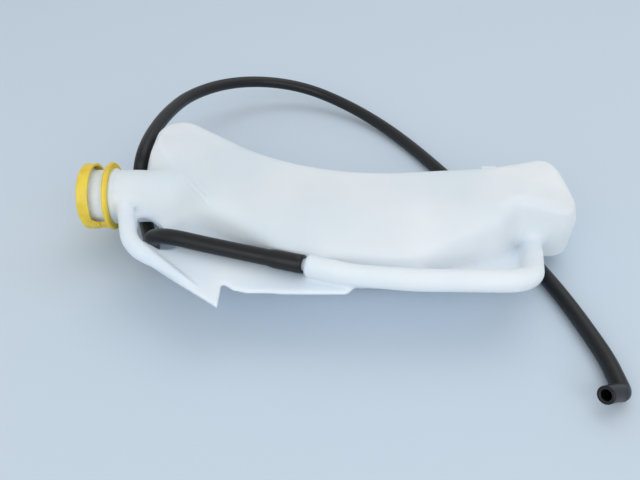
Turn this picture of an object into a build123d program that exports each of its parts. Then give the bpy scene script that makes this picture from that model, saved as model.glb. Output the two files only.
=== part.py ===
"""Coolant expansion tank with a tethered snap cap and its hose.

A blow-moulded bottle lies on its back, neck towards -X, on the plane z = 0.
The neck, the feed tube and the overflow arm share one moulded piece with the
bottle. The cap hangs on a ring that swivels on the neck, and one rubber hose
goes from the spigot of the feed tube through the slot beside the neck.
Millimetres, +Z up, +X along the bottle away from the neck.
"""
import os
from math import cos, pi, radians, sin, sqrt, tan

from build123d import *

# Bottle
TOP_Z = 72.0          # flat front of the bottle
PART_Z = 46.0         # parting plane of the two mould halves
DRAFT_OUT = 5.5       # how far the parting line stands out past the front face
DRAFT_UP = 12.0       # degrees, walls above the parting plane
DRAFT_DOWN = 2.5      # degrees, walls below it
WALL = 2.5
TOP_R = 11.0          # rounding of the front edge
FOOT_R = 7.0          # rounding of the back edge
END_LIFT = 14.0       # clear height under the stepped end
END_X = 128.0         # where the back steps up
CROWN_Y = -15.0       # the front face curves down towards -Y from here
CROWN_R = 120.0
UNDERCUT = (0.0, -64.0, 22.0)   # the back slopes away under the feed tube
SHOULDER_SLOPE = 0.79
SHOULDER_R = 4.0
BACK_SLOPE = 1.0
BACK_EDGE = (-140.0, -2.0, 37.0)
BACK_R = 4.0

# Neck
NECK_Y = 25.0
NECK_Z = 48.0
NECK_R = 22.8
NECK_END = -200.8
NECK_ROOT = -106.0     # inner end of the neck's tube, inside the bottle
LIP_PROUD = 1.8
LIP_LEN = 3.0
BEAD_PROUD = 1.6
BEAD_LEN = 1.6

# Tether ring and cap
RING_X = -182.4        # outer face of the ring
RING_LEN = 3.8
RING_PROUD = 0.9       # how far the ring stands out past the cap
RING_GAP = 0.08        # running clearance on the neck
RING_EDGE = 1.0
END_GAP = 0.3
SKIRT_FIT = 1.9        # room between the lip and the skirt
SKIRT_WALL = 2.0
CAP_LEN = 9.6
CAP_TOP = 2.6
CAP_EDGE = 1.2
PLUG_FIT = 3.3
PLUG_LEN = 4.0
PLUG_WALL = 2.0
STRAP_ANGLE = 202.0    # direction of the strap round the neck, from +Y towards +Z
STRAP_WIDTH = 12.0
STRAP_THICK = 2.0
STRAP_LAP = 3.0        # length of strap that runs onto the skirt
HINGE_GAP = 0.3

LIP_R = NECK_R + LIP_PROUD
CAP_R = LIP_R + SKIRT_FIT + SKIRT_WALL
CAP_X = NECK_END - END_GAP - CAP_TOP
SKIRT_X = CAP_X + CAP_LEN
HINGE_X = (SKIRT_X + RING_X) / 2

# Feed tube, overflow arm and web
TUBE_R = 8.6
TUBE_BORE = 5.4
TUBE_END_R = 4.0
SPIGOT_R = 4.4
SPIGOT_BORE = 3.0
SPIGOT_LEN = 26.0
SPIGOT_ROOT = (-11.0, -76.0, 57.5)
ARM_Z = 52.0
ARM_R = 6.9
ARM_TIP_R = 1.4       # the arm thins out as it sinks into the web
WEB_Z = 46.5
WEB_T = 3.5
LUG_DEPTH = 20.0
CUTTER = 700.0        # size of the cutting blocks, larger than the bottle

# Hose
HOSE_R = 6.35
HOSE_BORE = 3.95
CUFF_LEN = 22.0       # stretched end on the spigot
CUFF_CONE = 9.0
CUFF_GAP = 1.5        # bare spigot between the cuff and the tube
SPIGOT_GAP = 0.02

# Plan of the front face, clockwise from the hump, with a corner radius each
PLAN = [
    ((-153.5, 143.8), 21.6),
    ((-10.7, 23.9), 200.0),
    ((150.0, 38.2), 150.0),
    ((203.5, 55.0), 14.0),
    ((214.5, -14.0), 16.0),
    ((160.0, -14.0), 14.0),
    ((140.0, -37.5), 25.0),
    ((74.0, -66.0), 100.0),
    ((-18.0, -66.0), 60.0),
    ((-95.0, -18.0), 30.0),
    ((-128.0, -10.0), 18.0),
    ((-153.5, 13.7), 9.0),
]
CREASE = (-141.4, 63.2), (-81.2, -27.0)

TUBE_PATH = [
    SPIGOT_ROOT,
    (24.0, -85.6, 56.0),
    (70.0, -89.4, 54.5),
    (155.5, -89.3, 53.0),
    (183.0, -4.0, 24.0),
]
TUBE_BENDS = [100.0, 200.0, 26.0]
ARM_PATH = [
    (-169.0, 16.0, ARM_Z),
    (-149.0, -46.0, ARM_Z),
    (-86.0, -93.5, WEB_Z),
]
ARM_BENDS = [45.0]
WEB_PLAN = [
    (-168.0, 20.0), (-164.0, -4.0), (-150.0, -46.0), (-121.0, -72.0), (-73.3, -109.0),
    (-72.9, -86.5), (-71.5, -85.2), (-64.6, -91.0), (-54.8, -94.1),
    (-14.6, -95.7), (18.2, -95.8), (22.4, -93.6), (27.0, -87.8),
    (80.0, -88.0), (80.0, -30.0), (0.0, -30.0), (-140.0, 30.0),
]
RAMP_PLAN = [          # web beside the tube's last run, on a slope as steep as that run
    (74.0, 0.0), (143.5, 0.5), (158.0, 13.5), (166.0, 35.0), (182.5, 86.0),
    (120.0, 86.0), (74.0, 40.0),
]
SLOT_PLAN = [
    (-150.9, -15.0), (-152.7, -6.8), (-151.8, -5.5), (-141.3, -5.5),
    (-129.1, -20.3), (-114.5, -25.8), (-114.5, -45.5), (-126.5, -47.0),
    (-149.0, -31.0),
]
LUG = (144.5, 159.5), 56.0, (56.0, 60.0)

HOSE_PATH = [
    SPIGOT_ROOT,
    (-73.0, -55.6, 55.4),
    (-136.4, -34.3, 56.0),
    (-143.0, -14.0, 16.0),
    (-157.0, 29.0, 8.0),
    (-168.0, 62.0, 25.0),
    (-166.0, 69.0, 55.5),
    (-164.5, 104.0, 60.5),
    (-158.0, 158.0, 58.0),
    (-144.0, 214.0, 51.0),
    (-110.0, 263.0, 42.0),
    (-64.0, 290.0, 31.5),
    (-14.0, 291.0, 21.5),
    (33.0, 263.0, 13.5),
    (70.0, 225.5, 8.5),
    (98.0, 183.5, 6.5),
    (122.0, 136.0, 6.5),
    (144.5, 86.0, 6.5),
    (166.0, 34.0, 6.5),
    (186.0, -18.0, 6.5),
    (199.0, -62.0, 6.5),
    (207.5, -103.0, 6.5),
    (211.2, -125.0, 6.5),
    (212.5, -151.5, 6.8),
    (192.5, -163.5, 18.0),
]


def corner_radii(path, share=0.45):
    """Largest tangent arc at each inner corner of a route."""
    radii = []
    for before, here, after in zip(path, path[1:], path[2:]):
        run_in = Vector(*here) - Vector(*before)
        run_out = Vector(*after) - Vector(*here)
        turn = run_in.get_angle(run_out)
        radii.append(share * min(run_in.length, run_out.length) / tan(radians(turn / 2)))
    return radii


def bar(line, radius):
    """Round bar along a line."""
    start = Plane(line @ 0, z_dir=line % 0)
    return sweep(start * Circle(radius), path=line)


def round_x(radius, x_from, x_to):
    """Cylinder on the neck's axis between two stations."""
    start = Plane((x_from, NECK_Y, NECK_Z), z_dir=(1, 0, 0))
    return extrude(start * Circle(radius), x_to - x_from)


def plan_face(grow):
    """Plan of the bottle at z = 0, grown outwards by an amount."""
    points = [point for point, _ in PLAN]
    radii = [radius for _, radius in PLAN]
    face = make_face(FilletPolyline(*points, radius=radii, close=True))
    return offset(face, grow, kind=Kind.INTERSECTION)


def slope_normal(rise, up):
    """Outward normal of a plane that falls away from the crease towards the neck."""
    run = (Vector(*CREASE[1]) - Vector(*CREASE[0])).normalized()
    return Vector(rise * run.Y, -rise * run.X, up).normalized()


def beyond(point, normal, inset):
    """Block that covers everything outside a plane, moved in by an inset."""
    base = Vector(*point) - normal * inset
    size = Box(CUTTER, CUTTER, CUTTER, align=(Align.CENTER, Align.CENTER, Align.MIN))
    return Plane(base, z_dir=normal) * size


def on_plane(solid, normal):
    """The flat face of a solid that looks along a normal."""
    flat = solid.faces().filter_by(GeomType.PLANE)
    return flat.sort_by(lambda face: (face.normal_at() - normal).length)[0]


def crown(inset):
    """Long block under the front face: flat, then curving down towards -Y."""
    top = TOP_Z - inset
    middle = (CROWN_Y, TOP_Z - CROWN_R)
    bend = CenterArc(middle, CROWN_R - inset, 90, 60)
    far = 2 * CROWN_R
    sides = Polyline((CROWN_Y, top), (far, top), (far, -far), bend @ 1)
    return extrude(Plane.YZ * make_face([bend, sides]), 3 * CROWN_R, both=True)


def front_half(inset):
    """Mould half above the parting plane, with the shoulder towards the neck."""
    block = extrude(plan_face(DRAFT_OUT - inset), TOP_Z - PART_Z + 1, taper=DRAFT_UP)
    block = Pos(0, 0, PART_Z) * block & crown(inset)
    flat = on_plane(block, Vector(0, 0, 1)).edges()
    curved = block.faces().filter_by(GeomType.CYLINDER).edges()
    rim = ShapeList(set(flat) ^ set(curved))
    block = fillet(rim, TOP_R - inset)
    normal = slope_normal(SHOULDER_SLOPE, 1)
    block -= beyond((*CREASE[0], TOP_Z), normal, inset)
    edges = on_plane(block, normal).edges()
    edges = edges.filter_by(lambda edge: edge.center().Z > PART_Z + 1)
    return fillet(edges, SHOULDER_R) if inset == 0 else block


def back_half(inset):
    """Mould half below the parting plane, stepped up at the far end."""
    block = extrude(plan_face(DRAFT_OUT - inset), PART_Z - inset, taper=DRAFT_DOWN)
    rim = block.faces().sort_by(Axis.Z)[-1].edges()
    block = Pos(0, 0, PART_Z) * mirror(fillet(rim, FOOT_R - inset), about=Plane.XY)
    normal = slope_normal(BACK_SLOPE, -1)
    block -= beyond(BACK_EDGE, normal, inset)
    edges = on_plane(block, normal).edges()
    edges = edges.filter_by(lambda edge: edge.center().Z < PART_Z - 1)
    if inset == 0:
        block = fillet(edges, BACK_R)
    block -= beyond(UNDERCUT, Vector(0, -1, -1).normalized(), inset)
    start = END_X - inset * (sqrt(2) - 1)
    lift = END_LIFT + inset
    step = Polyline(
        (start - END_X, inset - END_X), (start + END_LIFT, lift),
        (2 * END_X, lift), (2 * END_X, inset - END_X), close=True,
    )
    return block - extrude(Plane.XZ * make_face(step), 2 * END_X, both=True)


def bottle(inset):
    """The blown shape: both halves and the neck's tube."""
    tube = round_x(NECK_R - inset, NECK_END - inset, NECK_ROOT)
    return front_half(inset) + back_half(inset) + tube


def plate(points, place=Plane.XY.offset(WEB_Z)):
    """Flat web with its middle in a plane, which is the parting plane if none is given."""
    face = make_face(Polyline(*points, close=True))
    return extrude(place * face, WEB_T / 2, both=True)


def ramp_plane():
    """Plane under the tube's last run, with x as in the plan and y down the slope."""
    corner, end = TUBE_PATH[-2:]
    normal = Vector(0, corner[2] - end[2], end[1] - corner[1])
    return Plane((0, corner[1], WEB_Z), x_dir=(1, 0, 0), z_dir=normal)


def feed_line():
    return FilletPolyline(*TUBE_PATH, radius=TUBE_BENDS)


def overflow_arm():
    """Even round bar from the neck round its bend, then a cone that sinks into the web."""
    line = FilletPolyline(*ARM_PATH, radius=ARM_BENDS)
    run, bend, last = line.edges().sort_by(line)
    cone = Cone(ARM_R, ARM_TIP_R, last.length, align=(Align.CENTER, Align.CENTER, Align.MIN))
    return bar(Wire([run, bend]), ARM_R) + Plane(bend @ 1, z_dir=line % 1) * cone


def nearest_face(solid, place):
    """The face of a solid whose middle is nearest to a place."""
    return solid.faces().sort_by(lambda face: (face.center() - place).length)[0]


def spigot_plane():
    """Plane at the tube's left end, looking along the spigot to the hose."""
    line = feed_line()
    return Plane(line @ 0, z_dir=-(line % 0))


def make_tank():
    """Bottle, neck, feed tube, overflow arm and web as one hollow moulding."""
    lip = round_x(LIP_R, NECK_END, NECK_END + LIP_LEN)
    ring_end = RING_X + RING_LEN + END_GAP
    bead_r = NECK_R + BEAD_PROUD
    beads = round_x(bead_r, RING_X - END_GAP - BEAD_LEN, RING_X - END_GAP)
    beads += round_x(bead_r, ring_end, ring_end + BEAD_LEN)

    web = plate(WEB_PLAN) - plate(SLOT_PLAN) + plate(RAMP_PLAN, ramp_plane())
    end = spigot_plane()
    feed = bar(feed_line(), TUBE_R)
    feed = fillet(nearest_face(feed, end.origin).edges(), TUBE_END_R)
    spigot = end * Pos(0, 0, -TUBE_R) * Cylinder(
        SPIGOT_R, SPIGOT_LEN + TUBE_R, align=(Align.CENTER, Align.CENTER, Align.MIN))

    (x_low, x_high), y_lug, (z_low, z_high) = LUG
    lug = Pos((x_low + x_high) / 2, y_lug, (z_low + z_high) / 2) * Box(
        x_high - x_low, LUG_DEPTH, z_high - z_low, align=(Align.CENTER, Align.MAX, Align.CENTER))

    tank = bottle(0) + lip + beads + web + overflow_arm() + feed + spigot + lug
    tank -= bottle(WALL)
    end_wall = end * Cylinder(TUBE_R, 2 * TUBE_END_R)
    tank -= bar(feed_line(), TUBE_BORE) - end_wall
    tank -= end * Cylinder(SPIGOT_BORE, 3 * SPIGOT_LEN)
    return tank


def strap(x_from, x_to):
    """Strip of the strap between two stations, hollowed to a U between cap and ring."""
    out = Vector(0, cos(radians(STRAP_ANGLE)), sin(radians(STRAP_ANGLE)))
    place = Plane((HINGE_X, NECK_Y, NECK_Z), x_dir=(1, 0, 0), z_dir=out)
    low = CAP_R - STRAP_THICK
    strip = Pos(x_from, 0, low) * Box(
        x_to - x_from, STRAP_WIDTH, STRAP_THICK, align=(Align.MIN, Align.CENTER, Align.MIN))
    notch = Pos(0, STRAP_WIDTH / 2, CAP_R) * Cylinder((RING_X - SKIRT_X) / 2, 2 * CAP_R)
    return place * (strip - notch)


def make_cap():
    """Snap cap with a seal plug, and its half of the strap."""
    inside = CAP_X + CAP_TOP
    plug_r = NECK_R - WALL - PLUG_FIT
    cap = round_x(CAP_R, CAP_X, SKIRT_X)
    cap = chamfer(cap.faces().sort_by(Axis.X)[0].edges(), CAP_EDGE)
    cap -= round_x(CAP_R - SKIRT_WALL, inside, SKIRT_X)
    cap += round_x(plug_r, CAP_X + CAP_TOP / 2, inside + PLUG_LEN)
    cap -= round_x(plug_r - PLUG_WALL, inside, inside + PLUG_LEN)
    return cap + strap(SKIRT_X - HINGE_X - STRAP_LAP, -HINGE_GAP)


def make_tether():
    """Ring that swivels on the neck, and its half of the strap."""
    ring = round_x(CAP_R + RING_PROUD, RING_X, RING_X + RING_LEN)
    ring = chamfer(ring.edges().filter_by(GeomType.CIRCLE), RING_EDGE)
    ring += strap(HINGE_GAP, RING_X - HINGE_X + RING_LEN / 2)
    return ring - round_x(NECK_R + RING_GAP, HINGE_X, RING_X + 2 * RING_LEN)


def make_hose():
    """Rubber hose: stretched cuff on the spigot, then one free run."""
    radii = corner_radii(HOSE_PATH)
    line = FilletPolyline(*HOSE_PATH, radius=radii)
    print("hose length", round(line.length, 1), "radii", [round(radius) for radius in radii])
    hose = bar(line, HOSE_R)
    cuff_r = HOSE_R + SPIGOT_R - HOSE_BORE
    start = spigot_plane() * Pos(0, 0, CUFF_GAP)
    align = (Align.CENTER, Align.CENTER, Align.MIN)
    hose += start * Cylinder(cuff_r, CUFF_LEN, align=align)
    hose += start * Pos(0, 0, CUFF_LEN) * Cone(cuff_r, HOSE_R, CUFF_CONE, align=align)
    hose -= bar(line, HOSE_BORE)
    hose -= start * Cylinder(SPIGOT_R + SPIGOT_GAP, 2 * SPIGOT_LEN + 1)
    behind = (Align.CENTER, Align.CENTER, Align.MAX)
    hose -= start * Cylinder(3 * HOSE_R, SPIGOT_LEN, align=behind)
    section = HOSE_R**2 - HOSE_BORE**2
    print("hose volume", round(hose.volume), "section x length", round(pi * section * line.length))
    return hose


def save(name, solid):
    export_step(solid, f"parts/{name}.step")
    box = solid.bounding_box()
    print(name, round(solid.volume), solid.is_valid, len(solid.solids()), box)


if __name__ == "__main__":
    os.makedirs("parts", exist_ok=True)
    save("tank", make_tank())
    save("filler_cap", make_cap())
    save("cap_tether", make_tether())
    save("hose", make_hose())
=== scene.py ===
# %% [markdown]
# # A coolant expansion tank, dressed for the camera
#
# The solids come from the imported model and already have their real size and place.
# This lesson adds what a solid can't show: soft blow-moulded shoulders, milky plastic,
# a rubber hose on one smooth line, and light. All lengths here are metres unless a name
# ends in _MM, and the frame is the model's own: +X along the bottle away from its neck,
# +Y away from the camera, +Z up.

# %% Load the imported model
import math

import bmesh
import bpy
import numpy as np
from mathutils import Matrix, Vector


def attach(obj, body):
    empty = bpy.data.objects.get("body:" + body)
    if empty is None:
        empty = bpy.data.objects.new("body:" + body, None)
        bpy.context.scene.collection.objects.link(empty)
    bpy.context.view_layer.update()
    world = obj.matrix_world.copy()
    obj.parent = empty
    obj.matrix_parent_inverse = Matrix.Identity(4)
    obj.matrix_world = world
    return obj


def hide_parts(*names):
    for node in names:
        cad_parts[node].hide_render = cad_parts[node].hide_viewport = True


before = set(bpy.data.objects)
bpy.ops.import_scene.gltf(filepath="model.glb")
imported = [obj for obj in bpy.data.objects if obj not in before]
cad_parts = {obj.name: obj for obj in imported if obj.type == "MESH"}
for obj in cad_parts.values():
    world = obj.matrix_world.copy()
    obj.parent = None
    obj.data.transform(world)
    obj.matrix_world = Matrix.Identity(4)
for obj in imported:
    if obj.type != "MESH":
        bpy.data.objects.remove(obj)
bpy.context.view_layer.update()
MM = 0.001

# %% [markdown]
# ## Camera
#
# The photograph was taken from a standing height, looking down at the tank. Its lens and
# tilt were found from the neck's ellipses and the hose's width near and far. A camera
# could be aimed with a constraint, but a plain place and tilt say more to a reader.

# %% Camera
CAMERA_PLACE_MM = (0.0, -419.0, 364.0)
CAMERA_DOWN_DEG = 39.5
PHOTO_WIDTH_PX = 640
FOCAL_PX = 620
SENSOR_MM = 36.0

camera_data = bpy.data.cameras.new("camera")
camera_data.sensor_width = SENSOR_MM
camera_data.lens = SENSOR_MM * FOCAL_PX / PHOTO_WIDTH_PX
camera = bpy.data.objects.new("camera", camera_data)
camera.location = Vector(CAMERA_PLACE_MM) * MM
camera.rotation_euler = (math.radians(90 - CAMERA_DOWN_DEG), 0, 0)
bpy.context.collection.objects.link(camera)
bpy.context.scene.camera = camera
print("lens", round(camera_data.lens, 2), "mm")

# %% [markdown]
# ## Colours and nodes
#
# A colour picked from a screen is sRGB, while a shader works in linear light, so one
# function turns a hex value into linear numbers. One more function adds a node with its
# settings and its links, which keeps each finish below short enough to read. The colour
# sockets of a mix node share their names with its number sockets, so they go by number.

# %% Helpers for finishes
MIX_SHARE, MIX_FIRST, MIX_SECOND, MIX_COLOUR = 0, 6, 7, 2


def linear(hex_colour):
    """Linear RGBA of an sRGB hex colour."""
    channels = [int(hex_colour[i:i + 2], 16) / 255 for i in (1, 3, 5)]
    low = [c / 12.92 if c <= 0.04045 else ((c + 0.055) / 1.055) ** 2.4 for c in channels]
    return (*low, 1.0)


def add_node(tree, kind, links=None, **settings):
    """Adds a node; settings are its properties or sockets, links its linked sockets."""
    node = tree.nodes.new(kind)
    for name, value in settings.items():
        if hasattr(node, name):
            setattr(node, name, value)
        else:
            node.inputs[name.replace("_", " ")].default_value = value
    for socket, source in (links or {}).items():
        tree.links.new(source, node.inputs[socket])
    return node


def new_material(name):
    """An empty node material, its tree and its output node."""
    material = bpy.data.materials.new(name)
    material.use_nodes = True
    material.node_tree.nodes.clear()
    output = add_node(material.node_tree, "ShaderNodeOutputMaterial")
    return material, material.node_tree, output


def per_metre(size_mm):
    """Texture scale that gives features of about that size."""
    return 1000.0 / size_mm


def paint(obj, material):
    """Gives an object that one finish."""
    obj.data.materials.clear()
    obj.data.materials.append(material)


# %% [markdown]
# ## Milky polyethylene
#
# The bottle is blow-moulded high-density polyethylene: a hot tube of plastic is blown
# against a steel mould. That gives the eye a waxy satin skin, light that soaks a few
# millimetres into the wall, and cloudy patches where the wall came out thinner. A glass
# shader would be too clear, so a diffuse base with subsurface light is used.

# %% Milky polyethylene, blow-moulded
THICK_WALL = "#E6EDF3"
THIN_WALL = "#D8E3EC"
CLOUD_MM = 90.0
CLOUD_SPREAD = (0.35, 0.65)    # part of the noise that goes from thin to thick
GRAIN_MM = 2.5                 # real mould grain is finer; drawn this coarse so that it shows
GRAIN_STRENGTH = 0.05
GRAIN_DEPTH = 0.0004
WAXY_ROUGHNESS = (0.38, 0.5)
LIGHT_SHARE = 0.7
LIGHT_DEPTH = (0.004, 0.0046, 0.0052)


def milky_polyethylene():
    material, tree, output = new_material("milky_polyethylene_blow_moulded")
    place = add_node(tree, "ShaderNodeTexCoord")
    cloud = add_node(tree, "ShaderNodeTexNoise", {"Vector": place.outputs["Object"]},
                     Scale=per_metre(CLOUD_MM), Detail=2.0, Roughness=0.45)
    spread = add_node(tree, "ShaderNodeMapRange", {"Value": cloud.outputs["Fac"]},
                      From_Min=CLOUD_SPREAD[0], From_Max=CLOUD_SPREAD[1])
    colour = add_node(tree, "ShaderNodeMix", data_type="RGBA")
    colour.inputs[MIX_FIRST].default_value = linear(THIN_WALL)
    colour.inputs[MIX_SECOND].default_value = linear(THICK_WALL)
    tree.links.new(spread.outputs["Result"], colour.inputs[MIX_SHARE])
    grain = add_node(tree, "ShaderNodeTexNoise", {"Vector": place.outputs["Object"]},
                     Scale=per_metre(GRAIN_MM), Detail=3.0, Roughness=0.6)
    bump = add_node(tree, "ShaderNodeBump", {"Height": grain.outputs["Fac"]},
                    Strength=GRAIN_STRENGTH, Distance=GRAIN_DEPTH)
    rough = add_node(tree, "ShaderNodeMapRange", {"Value": grain.outputs["Fac"]},
                     To_Min=WAXY_ROUGHNESS[0], To_Max=WAXY_ROUGHNESS[1])
    shader = add_node(tree, "ShaderNodeBsdfPrincipled", {
        "Base Color": colour.outputs[MIX_COLOUR],
        "Roughness": rough.outputs["Result"],
        "Normal": bump.outputs["Normal"],
    }, IOR=1.54, Specular_IOR_Level=0.35, Subsurface_Weight=LIGHT_SHARE,
        Subsurface_Radius=LIGHT_DEPTH, Subsurface_Scale=1.0)
    tree.links.new(shader.outputs["BSDF"], output.inputs["Surface"])
    return material


milky = milky_polyethylene()
print("finish", milky.name)

# %% [markdown]
# ## Yellow polyethylene
#
# The cap, its ring and the strap between them are one injection moulding in soft yellow
# polyethylene. The pigment makes it nearly opaque, and edges look a little lighter
# because light leaves the thin rims again. A plain colour would look like paint, so the
# yellow drifts a little, as the plastic flowed into its mould.

# %% Yellow polyethylene, injection-moulded
CAP_YELLOW = "#EBD044"
CAP_SHADE = "#DDBB30"
FLOW_MM = 14.0
FLOW_SPREAD = (0.3, 0.6)
CAP_ROUGHNESS = (0.34, 0.46)
RIM_LIGHT_SHARE = 0.15
RIM_LIGHT_DEPTH = (0.003, 0.002, 0.0006)


def yellow_polyethylene():
    material, tree, output = new_material("yellow_polyethylene_moulded")
    place = add_node(tree, "ShaderNodeTexCoord")
    flow = add_node(tree, "ShaderNodeTexNoise", {"Vector": place.outputs["Object"]},
                    Scale=per_metre(FLOW_MM), Detail=2.0, Roughness=0.5)
    spread = add_node(tree, "ShaderNodeMapRange", {"Value": flow.outputs["Fac"]},
                      From_Min=FLOW_SPREAD[0], From_Max=FLOW_SPREAD[1])
    colour = add_node(tree, "ShaderNodeMix", data_type="RGBA")
    colour.inputs[MIX_FIRST].default_value = linear(CAP_SHADE)
    colour.inputs[MIX_SECOND].default_value = linear(CAP_YELLOW)
    tree.links.new(spread.outputs["Result"], colour.inputs[MIX_SHARE])
    rough = add_node(tree, "ShaderNodeMapRange", {"Value": flow.outputs["Fac"]},
                     To_Min=CAP_ROUGHNESS[0], To_Max=CAP_ROUGHNESS[1])
    shader = add_node(tree, "ShaderNodeBsdfPrincipled", {
        "Base Color": colour.outputs[MIX_COLOUR],
        "Roughness": rough.outputs["Result"],
    }, IOR=1.52, Subsurface_Weight=RIM_LIGHT_SHARE,
        Subsurface_Radius=RIM_LIGHT_DEPTH, Subsurface_Scale=1.0)
    tree.links.new(shader.outputs["BSDF"], output.inputs["Surface"])
    return material


yellow = yellow_polyethylene()
print("finish", yellow.name)

# %% [markdown]
# ## Black rubber
#
# The hose is extruded EPDM rubber, cured in steam. It is very dark with a soft sheen, and
# handling leaves dull patches on it. A fine bump breaks the highlight as talc and the
# die's drag do on the real one.

# %% EPDM rubber, extruded
RUBBER = "#090A0C"
RUBBER_DULL = "#121317"
DULL_MM = 25.0
DRAG_MM = 1.2
DRAG_STRENGTH = 0.15
DRAG_DEPTH = 0.0002
SHEEN_ROUGHNESS = (0.3, 0.46)


def epdm_rubber():
    material, tree, output = new_material("epdm_rubber_extruded")
    place = add_node(tree, "ShaderNodeTexCoord")
    dull = add_node(tree, "ShaderNodeTexNoise", {"Vector": place.outputs["Object"]},
                    Scale=per_metre(DULL_MM), Detail=3.0, Roughness=0.55)
    colour = add_node(tree, "ShaderNodeMix", data_type="RGBA")
    colour.inputs[MIX_FIRST].default_value = linear(RUBBER)
    colour.inputs[MIX_SECOND].default_value = linear(RUBBER_DULL)
    tree.links.new(dull.outputs["Fac"], colour.inputs[MIX_SHARE])
    drag = add_node(tree, "ShaderNodeTexNoise", {"Vector": place.outputs["Object"]},
                    Scale=per_metre(DRAG_MM), Detail=2.0, Roughness=0.6)
    bump = add_node(tree, "ShaderNodeBump", {"Height": drag.outputs["Fac"]},
                    Strength=DRAG_STRENGTH, Distance=DRAG_DEPTH)
    rough = add_node(tree, "ShaderNodeMapRange", {"Value": dull.outputs["Fac"]},
                     To_Min=SHEEN_ROUGHNESS[0], To_Max=SHEEN_ROUGHNESS[1])
    shader = add_node(tree, "ShaderNodeBsdfPrincipled", {
        "Base Color": colour.outputs[MIX_COLOUR],
        "Roughness": rough.outputs["Result"],
        "Normal": bump.outputs["Normal"],
    }, IOR=1.52, Specular_IOR_Level=0.38)
    tree.links.new(shader.outputs["BSDF"], output.inputs["Surface"])
    return material


rubber = epdm_rubber()
print("finish", rubber.name)

# %% [markdown]
# ## The hose
#
# The hose is one length of rubber from the spigot to its moulded elbow. Its line is a
# smooth spline that a few chosen points pull into place: the solid's own route, moved a
# little behind the neck and bent more tightly at the elbow. A bevelled curve would have
# no wall at its open end, so the tube is a mesh that follows the points that Blender
# gives for the spline: an outside, a bore and a ring between them at each end.

# %% Hose route
HOSE_ROUTE_MM = [
    (-11.0, -76.0, 57.5),
    (-73.0, -55.6, 55.4),
    (-136.4, -34.3, 56.0),
    (-143.0, -14.0, 16.0),
    (-159.0, 29.0, 8.0),
    (-171.0, 62.0, 25.0),
    (-166.0, 69.0, 55.5),
    (-164.5, 104.0, 60.5),
    (-158.0, 158.0, 58.0),
    (-144.0, 214.0, 51.0),
    (-110.0, 263.0, 42.0),
    (-64.0, 290.0, 31.5),
    (-14.0, 291.0, 21.5),
    (33.0, 263.0, 13.5),
    (70.0, 225.5, 8.5),
    (98.0, 183.5, 6.5),
    (122.0, 136.0, 6.5),
    (144.5, 86.0, 6.5),
    (166.0, 34.0, 6.5),
    (186.0, -18.0, 6.5),
    (199.0, -62.0, 6.5),
    (207.5, -103.0, 6.5),
    (211.0, -125.0, 6.5),
    (211.3, -142.0, 6.5),
    (210.9, -154.2, 7.5),
    (203.3, -156.8, 11.9),
    (192.5, -163.5, 18.0),
]
STEPS_PER_POINT = 20


def spline_points(route_mm):
    """Points along the smooth spline that has the route as its control points."""
    curve = bpy.data.curves.new("hose_route", "CURVE")
    curve.dimensions = "3D"
    spline = curve.splines.new("NURBS")
    spline.points.add(len(route_mm) - 1)
    for point, place in zip(spline.points, route_mm):
        point.co = (*(Vector(place) * MM), 1)
    spline.order_u = 3
    spline.use_endpoint_u = True
    spline.resolution_u = STEPS_PER_POINT
    holder = bpy.data.objects.new("hose_route", curve)
    mesh = bpy.data.meshes.new_from_object(holder)
    points = [vertex.co.copy() for vertex in mesh.vertices]
    bpy.data.objects.remove(holder)
    bpy.data.curves.remove(curve)
    bpy.data.meshes.remove(mesh)
    return points


def lengths_along(line):
    """Distance of each point from the start, measured along the line."""
    along = [0.0]
    for a, b in zip(line, line[1:]):
        along.append(along[-1] + (b - a).length)
    return along


hose_line = spline_points(HOSE_ROUTE_MM)
hose_along = lengths_along(hose_line)

# %% Hose tube
HOSE_R_MM = 6.35
HOSE_BORE_MM = 3.95
CUFF_R_MM = 7.2
CUFF_START_MM = 1.5
CUFF_LEN_MM = 22.0
CUFF_CONE_MM = 5.0
SPIGOT_R_MM = 4.42
SIDES = 32


def cuff_radius(along_mm):
    """Outside radius of the hose, swollen where the spigot stretches it."""
    past = (along_mm - CUFF_START_MM - CUFF_LEN_MM) / CUFF_CONE_MM
    ease = min(max(past, 0.0), 1.0)
    ease = ease * ease * (3 - 2 * ease)
    return CUFF_R_MM + (HOSE_R_MM - CUFF_R_MM) * ease


def ring(bm, centre, across, up, radius):
    """One ring of vertices round a point of the line."""
    turns = [2 * math.pi * k / SIDES for k in range(SIDES)]
    arms = [across * math.cos(t) + up * math.sin(t) for t in turns]
    return [bm.verts.new(centre + arm * radius) for arm in arms]


def join(bm, first, second):
    """A strip of quads between two rings."""
    for k in range(SIDES):
        after = (k + 1) % SIDES
        bm.faces.new((first[k], first[after], second[after], second[k]))


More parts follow.
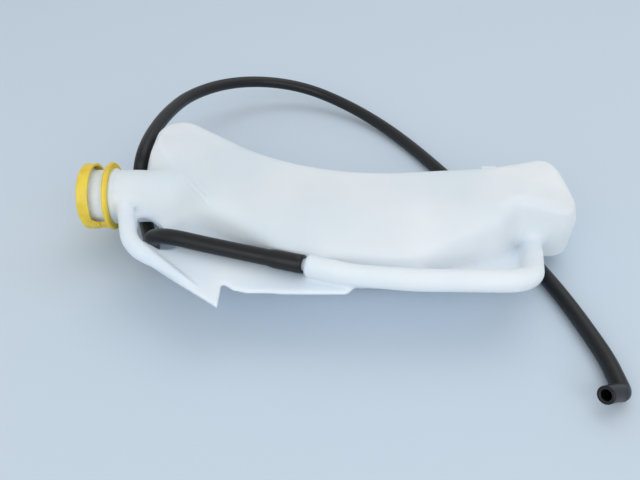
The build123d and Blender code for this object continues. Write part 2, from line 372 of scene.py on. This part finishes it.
def make_hose(line, along):
    """Tube mesh along the line, with its wall seen at both ends."""
    start = CUFF_START_MM * MM
    stations = [(start, line[0].lerp(line[1], start / along[1]))]
    stations += [(s, p) for s, p in zip(along, line) if s > 2 * start]
    bm = bmesh.new()
    outside = []
    inside = []
    up = Vector((0, 0, 1))
    for i, (s, point) in enumerate(stations):
        before = stations[max(i - 1, 0)][1]
        after = stations[min(i + 1, len(stations) - 1)][1]
        ahead = (after - before).normalized()
        across = ahead.cross(up).normalized()
        up = across.cross(ahead).normalized()
        outside.append(ring(bm, point, across, up, cuff_radius(s / MM) * MM))
        bore = SPIGOT_R_MM if s < (CUFF_START_MM + CUFF_LEN_MM) * MM else HOSE_BORE_MM
        inside.append(ring(bm, point, across, up, bore * MM))
    for rings in (outside, inside):
        for first, second in zip(rings, rings[1:]):
            join(bm, first, second)
    join(bm, outside[0], inside[0])
    join(bm, outside[-1], inside[-1])
    bmesh.ops.recalc_face_normals(bm, faces=bm.faces)
    mesh = bpy.data.meshes.new("hose_rubber")
    bm.to_mesh(mesh)
    bm.free()
    mesh.shade_smooth()
    tube = bpy.data.objects.new("hose_rubber", mesh)
    bpy.context.collection.objects.link(tube)
    return tube


hose = make_hose(hose_line, hose_along)
paint(hose, rubber)
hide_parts("hose")
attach(hose, "bottle")
print("hose tube", len(hose.data.polygons), "faces")

# %% [markdown]
# ## Soft shoulders on the bottle
#
# Blown plastic never fills a sharp inside corner of its mould, so the real bottle runs
# smoothly from neck to shoulder, where the solid has a crease. Beveling such a long curved
# crease would fail at its ends. Instead the solid is remeshed into small even faces and each
# point is drawn towards its neighbours, strongly along the neck and shoulder, a little
# elsewhere, and not at all on the neck's lip and the spigot, which fit other pieces.

# %% Even faces over the bottle
VOXEL_MM = 1.25


def applied(obj, kind, **settings):
    """Runs one modifier and keeps its result as the object's mesh."""
    modifier = obj.modifiers.new(kind.lower(), kind)
    for name, value in settings.items():
        setattr(modifier, name, value)
    evaluated = obj.evaluated_get(bpy.context.evaluated_depsgraph_get())
    result = bpy.data.meshes.new_from_object(evaluated)
    obj.modifiers.clear()
    obj.data = result


def even_skin(node, name):
    """A copy of a solid's mesh, remeshed into small even faces."""
    skin = bpy.data.objects.new(name, node.data.copy())
    bpy.context.collection.objects.link(skin)
    applied(skin, "REMESH", mode="VOXEL", voxel_size=VOXEL_MM * MM)
    return skin


bottle = even_skin(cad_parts["tank"], "bottle_skin")
print("bottle skin", len(bottle.data.vertices), "points")

# %% Reach the points of a skin


def skin_points(skin):
    """All points of a skin, in millimetres."""
    points = np.empty(len(skin.data.vertices) * 3, np.float32)
    skin.data.vertices.foreach_get("co", points)
    return points.reshape(-1, 3).astype(float) / MM


def put_points(skin, points):
    """Moves the points of a skin to places in millimetres."""
    skin.data.vertices.foreach_set("co", (points * MM).astype(np.float32).ravel())
    skin.data.update()


def run_distance(points, start, end):
    """Distance in mm of each point from a straight run."""
    start = np.array(start, float)
    along = np.array(end, float) - start
    share = np.clip((points - start) @ along / (along @ along), 0, 1)
    return np.linalg.norm(points - start - share[:, None] * along, axis=1)


def falloff(distance, full, none):
    """1 up to the full reach, easing to 0 at the reach of none."""
    t = np.clip((none - distance) / (none - full), 0, 1)
    return t * t * (3 - 2 * t)


# %% Draw the points together
EDGE_ROUNDS = 5
PULL = 0.5       # share of the way to the neighbours' middle in one round
SOFT_RUNS = [
    # from, to, reach of full effect, reach of none (all mm), rounds
    ((-150, 25, 58), (-92, 8, 66), 24, 44, 150),       # neck into the shoulder
    ((-84, -30, 70), (-20, -58, 68), 9, 24, 110),      # front edge beside the shoulder
    ((-20, -58, 68), (72, -60, 68), 9, 24, 60),        # front edge along the feed tube
    ((72, -60, 68), (138, -36, 68), 8, 20, 40),        # front edge towards the far end
    ((-102, -23, 50), (-60, -45, 50), 7, 13, 70),      # foot of the shoulder on the web
    ((30, -76, 50), (150, -62, 48), 8, 22, 40),        # foot of the wall beside the tube
    ((140, -42, 38), (164, -22, 34), 11, 24, 150),     # inside corner behind the elbow
    ((150, -22, 60), (166, -16, 60), 8, 18, 50),       # inside corner at the far end
    ((184, -19, 46), (206, -19, 46), 8, 18, 110),      # parting line on the far end
]
KEEP_RUNS = [
    # from, to, reach that is kept, reach that is free (all mm)
    ((-205, 25, 48), (-176, 25, 48), 30, 34),          # lip and beads of the neck
    ((-46, -64, 57), (-8, -77, 57), 9, 12),            # spigot
    ((-163, -8, 52), (-153, -36, 52), 9, 15),          # overflow arm below the neck
    ((-153, -36, 52), (-75, -104, 45), 9, 15),         # overflow arm along the web
]


def drawn_together(points, edges, weight, rounds):
    """Moves each point part of the way to the middle of its neighbours, many times."""
    a, b = edges.T
    size = len(points)
    count = np.bincount(edges.ravel(), minlength=size)
    for _ in range(rounds):
        middle = np.empty_like(points)
        for axis in range(3):
            from_b = np.bincount(a, points[b, axis], size)
            from_a = np.bincount(b, points[a, axis], size)
            middle[:, axis] = from_b + from_a
        points = points + PULL * weight[:, None] * (middle / count[:, None] - points)
    return points


def soften(skin):
    """Smooths a skin along the soft runs, keeps the kept runs, and gives the largest move."""
    whole = skin_points(skin)
    edges = np.empty(len(skin.data.edges) * 2, np.int32)
    skin.data.edges.foreach_get("vertices", edges)
    edges = edges.reshape(-1, 2)
    free = np.ones(len(whole))
    for start, end, full, none in KEEP_RUNS:
        free *= 1 - falloff(run_distance(whole, start, end), full, none)
    points = drawn_together(whole, edges, free, EDGE_ROUNDS)
    for start, end, full, none, rounds in SOFT_RUNS:
        weight = free * falloff(run_distance(whole, start, end), full, none)
        points = drawn_together(points, edges, weight, rounds)
    put_points(skin, points)
    return np.linalg.norm(points - whole, axis=1).max()


print("softened, largest move", round(soften(bottle), 1), "mm")

# %% [markdown]
# ## Two faint ribs on the shoulder
#
# Where the front face turns down to the neck, the mould has a narrow bevel, and its two edges
# catch the light as faint lines. The smoothing above took the bevel away. Two shallow ribs,
# raised straight up and fading at their ends, bring the lines back as real shape.

# %% Ribs
RIBS_MM = [((-114.0, 19.5), (-90.0, -16.0)), ((-108.5, 20.5), (-88.5, -9.5))]
RIB_HALF_WIDTH_MM = 1.8
RIB_HEIGHT_MM = 0.8
RIB_FADE_MM = 6.0
RIB_LOWEST_MM = 55.0


def raise_ribs(skin):
    """Lifts the skin along each rib, most at the rib's middle."""
    points = skin_points(skin)
    upper = points[:, 2] > RIB_LOWEST_MM
    for start, end in RIBS_MM:
        start = np.array(start)
        along = np.array(end) - start
        length = np.linalg.norm(along)
        place = (points[:, :2] - start) @ along / length
        aside = np.abs((points[:, :2] - start) @ np.array((-along[1], along[0])) / length)
        fade = np.clip(np.minimum(place, length - place) / RIB_FADE_MM, 0, 1)
        points[:, 2] += upper * fade * RIB_HEIGHT_MM * falloff(aside, 0, RIB_HALF_WIDTH_MM)
    put_points(skin, points)


raise_ribs(bottle)
print("ribs", len(RIBS_MM))

# %% [markdown]
# ## The low corner of the far end
#
# The front face of the far end is not level: it falls towards its near corner. A sloped cut
# would leave an edge that the blown wall doesn't have, so the skin is pressed down there, most
# at the corner and not at all below the middle of the wall.

# %% Low corner
LOW_CORNER_MM = (216.0, -16.0)
LOW_REACH_MM = 52.0
LOW_DEPTH_MM = 11.0
LOW_FROM_MM = 40.0
FRONT_MM = 72.0


def press_corner(skin):
    """Lowers the skin round the far end's near corner."""
    points = skin_points(skin)
    distance = np.linalg.norm(points[:, :2] - LOW_CORNER_MM, axis=1)
    height = np.clip((points[:, 2] - LOW_FROM_MM) / (FRONT_MM - LOW_FROM_MM), 0, 1)
    points[:, 2] -= LOW_DEPTH_MM * height * falloff(distance, 0, LOW_REACH_MM)
    put_points(skin, points)


press_corner(bottle)
print("low corner", LOW_DEPTH_MM, "mm")

# %% [markdown]
# ## Fewer faces
#
# The even skin has far more triangles than its soft shape needs. A decimate modifier merges
# the ones that lie nearly flat. It comes last, because the smoothing needs even faces.

# %% Thin out and finish the bottle
SKIN_TRIANGLES = 180000

triangles = 2 * len(bottle.data.polygons)
applied(bottle, "DECIMATE", ratio=min(1.0, SKIN_TRIANGLES / triangles))
bottle.data.shade_smooth()
paint(bottle, milky)
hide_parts("tank")
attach(bottle, "bottle")
print("bottle skin", len(bottle.data.polygons), "faces after thinning")

# %% [markdown]
# ## Cap and ring
#
# The cap snaps over the neck's lip, and its ring turns between two beads. They could be
# remeshed as the bottle is, but a moulded cap has crisp edges, and the solids already have
# them. So they stay and only get their finish.

# %% Finish on the cap and the ring
YELLOW_NODES = ("filler_cap", "cap_tether")

for name in YELLOW_NODES:
    paint(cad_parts[name], yellow)
print("yellow nodes", YELLOW_NODES)

# %% [markdown]
# ## Floor and light
#
# The photograph has hardly any shadow: big soft lamps stood all round. A wide lamp high at
# the back right and two low ones at the front give that, and the world adds an even light
# from every side.

# %% Floor
FLOOR_COLOUR = "#C9D6E2"
FLOOR_HALF = 12.0
FLOOR_GRAIN_MM = 4.0
FLOOR_ROUGHNESS = (0.75, 0.85)


def painted_table():
    material, tree, output = new_material("matt_painted_table")
    place = add_node(tree, "ShaderNodeTexCoord")
    grain = add_node(tree, "ShaderNodeTexNoise", {"Vector": place.outputs["Object"]},
                     Scale=per_metre(FLOOR_GRAIN_MM), Detail=2.0)
    rough = add_node(tree, "ShaderNodeMapRange", {"Value": grain.outputs["Fac"]},
                     To_Min=FLOOR_ROUGHNESS[0], To_Max=FLOOR_ROUGHNESS[1])
    shader = add_node(tree, "ShaderNodeBsdfPrincipled", {"Roughness": rough.outputs["Result"]},
                      Base_Color=linear(FLOOR_COLOUR), Specular_IOR_Level=0.2)
    tree.links.new(shader.outputs["BSDF"], output.inputs["Surface"])
    return material


floor_corners = [(x * FLOOR_HALF, y * FLOOR_HALF, 0) for x, y in ((-1, -1), (1, -1), (1, 1), (-1, 1))]
floor_mesh = bpy.data.meshes.new("floor")
floor_mesh.from_pydata(floor_corners, [], [(0, 1, 2, 3)])
floor = bpy.data.objects.new("floor", floor_mesh)
bpy.context.collection.objects.link(floor)
paint(floor, painted_table())
print("floor", 2 * FLOOR_HALF, "m wide")

# %% Lights
LAMPS = [
    # name, place in metres, width in metres, power in watts
    ("key_lamp", (0.7, 0.9, 2.0), 1.8, 9.0),
    ("left_fill_lamp", (-0.9, -1.7, 1.2), 1.6, 12.0),
    ("right_fill_lamp", (1.0, -1.7, 1.2), 1.6, 10.0),
]
AIM = Vector((0.0, 0.0, 0.04))
WORLD_COLOUR = "#F4F7FA"
WORLD_LEVEL = 0.70

for name, place, size, power in LAMPS:
    lamp_data = bpy.data.lights.new(name, "AREA")
    lamp_data.size = size
    lamp_data.energy = power
    lamp = bpy.data.objects.new(name, lamp_data)
    lamp.location = place
    lamp.rotation_euler = (AIM - Vector(place)).to_track_quat("-Z", "Y").to_euler()
    bpy.context.collection.objects.link(lamp)

world = bpy.data.worlds.new("studio")
world.use_nodes = True
world.node_tree.nodes.clear()
sky = add_node(world.node_tree, "ShaderNodeBackground",
               Color=linear(WORLD_COLOUR), Strength=WORLD_LEVEL)
add_node(world.node_tree, "ShaderNodeOutputWorld", {"Surface": sky.outputs["Background"]})
bpy.context.scene.world = world
bpy.context.scene.view_settings.view_transform = "Standard"
print("lamps", len(LAMPS))
